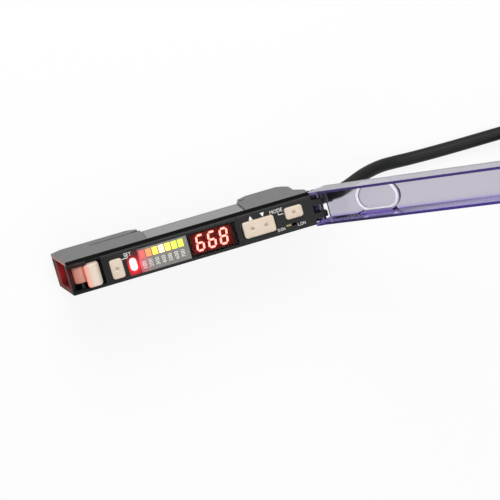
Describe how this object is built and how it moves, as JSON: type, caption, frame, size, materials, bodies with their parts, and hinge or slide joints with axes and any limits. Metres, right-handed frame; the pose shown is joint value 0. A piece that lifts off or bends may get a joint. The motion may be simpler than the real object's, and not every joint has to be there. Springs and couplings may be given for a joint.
{
  "type": "fibre optic sensor amplifier",
  "caption": "Slim rail-mounted fibre optic amplifier with a lit panel of keys, bar lights and digits, a fibre lock lever, a raised clear dust cover and a coiled cable.",
  "frame": {"origin": "middle of the rail slot, level with the feet", "axes": "+X from the fibre end to the cable end, +Y across the case towards its removable side cover, +Z from the feet up to the panel"},
  "size_m": [0.2113, 0.0459, 0.0763],
  "materials": {
    "case_plastic": "satin",
    "side_plastic": "satin",
    "label_film": "satin",
    "port_plastic": "satin",
    "cream_plastic": "satin",
    "natural_plastic": "satin",
    "steel": "polished",
    "red_emitter": "gloss",
    "dark_receiver": "gloss",
    "red_window": "gloss",
    "grey_window": "gloss",
    "chip_white": "matt",
    "module_black": "matt",
    "board_green": "satin",
    "chip_black": "matt",
    "clear_violet": "gloss",
    "cable_sheath": "satin",
    "tie_plastic": "satin",
    "lead_brown": "satin",
    "lead_blue": "satin",
    "lead_black": "satin",
    "status_light": "gloss",
    "bar_pink": "gloss",
    "bar_orange": "gloss",
    "bar_yellow": "gloss",
    "bar_white": "gloss",
    "bar_green": "gloss",
    "digit_light": "gloss"
  },
  "bodies": {
    "case": {"case_body": "case_plastic", "side_cover": "side_plastic", "side_label": "label_film", "fibre_block": "port_plastic", "lever_pin": "steel", "emitter": "red_emitter", "receiver": "dark_receiver", "status_window": "red_window", "status_lens": "status_light", "status_led": "chip_white", "bar_scale": "grey_window", "bar_light_1": "bar_pink", "bar_light_2": "bar_orange", "bar_light_3": "bar_yellow", "bar_light_4": "bar_white", "bar_light_5": "bar_yellow", "bar_light_6": "bar_green", "bar_light_7": "bar_green", "bar_leds": "chip_white", "display_window": "red_window", "digit_module": "module_black", "digit_1": "digit_light", "digit_2": "digit_light", "digit_3": "digit_light", "selector_switch": "chip_black", "set_dome": "steel", "up_dome": "steel", "down_dome": "steel", "mode_dome": "steel", "display_board": "board_green", "main_board": "board_green", "processor": "chip_black", "cable_bush": "cable_sheath", "cable": "cable_sheath", "cable_coil": "cable_sheath", "cable_tail": "cable_sheath", "coil_tie": "tie_plastic", "lead_brown": "lead_brown", "lead_blue": "lead_blue", "lead_black": "lead_black"},
    "cover": {"dust_cover": "clear_violet"},
    "lever": {"lock_lever": "cream_plastic"},
    "clamp": {"fibre_clamp": "natural_plastic"},
    "set": {"set_key": "cream_plastic"},
    "rocker": {"rocker_key": "cream_plastic"},
    "mode": {"mode_key": "cream_plastic"},
    "selector": {"selector_knob": "natural_plastic"}
  },
  "joints": [
    {"name": "cover_hinge", "type": "hinge", "parent": "case", "child": "cover", "pos_m": [0.0357, 0, 0.028], "axis": [0, -1, 0], "range_deg": [-47, 133]},
    {"name": "lever_hinge", "type": "hinge", "parent": "case", "child": "lever", "pos_m": [-0.0357, 0, 0.0273], "axis": [0, -1, 0], "range_deg": [0, 70]},
    {"name": "clamp_tilt", "type": "hinge", "parent": "case", "child": "clamp", "pos_m": [-0.0329, 0, 0.0161], "axis": [-1, 0, 0], "range_deg": [0, 5.4]},
    {"name": "set_press", "type": "slide", "parent": "case", "child": "set", "axis": [0, 0, -1], "range_m": [0, 0.0003], "stiffness_N_per_m": 2000, "deforming": ["set_dome"]},
    {"name": "rocker_tilt", "type": "hinge", "parent": "case", "child": "rocker", "pos_m": [0.0169, 0, 0.0274], "axis": [0, 1, 0], "range_deg": [-3.5, 3.5], "stiffness_Nm_per_rad": 0.05, "deforming": ["up_dome", "down_dome"]},
    {"name": "mode_press", "type": "slide", "parent": "case", "child": "mode", "axis": [0, 0, -1], "range_m": [0, 0.0003], "stiffness_N_per_m": 2000, "deforming": ["mode_dome"]},
    {"name": "selector_slide", "type": "slide", "parent": "case", "child": "selector", "axis": [1, 0, 0], "range_m": [0, 0.0015]}
  ],
  "couplings": [
    {"joint": "clamp_tilt", "follows": "lever_hinge", "ratio": 0.077143}
  ]
}
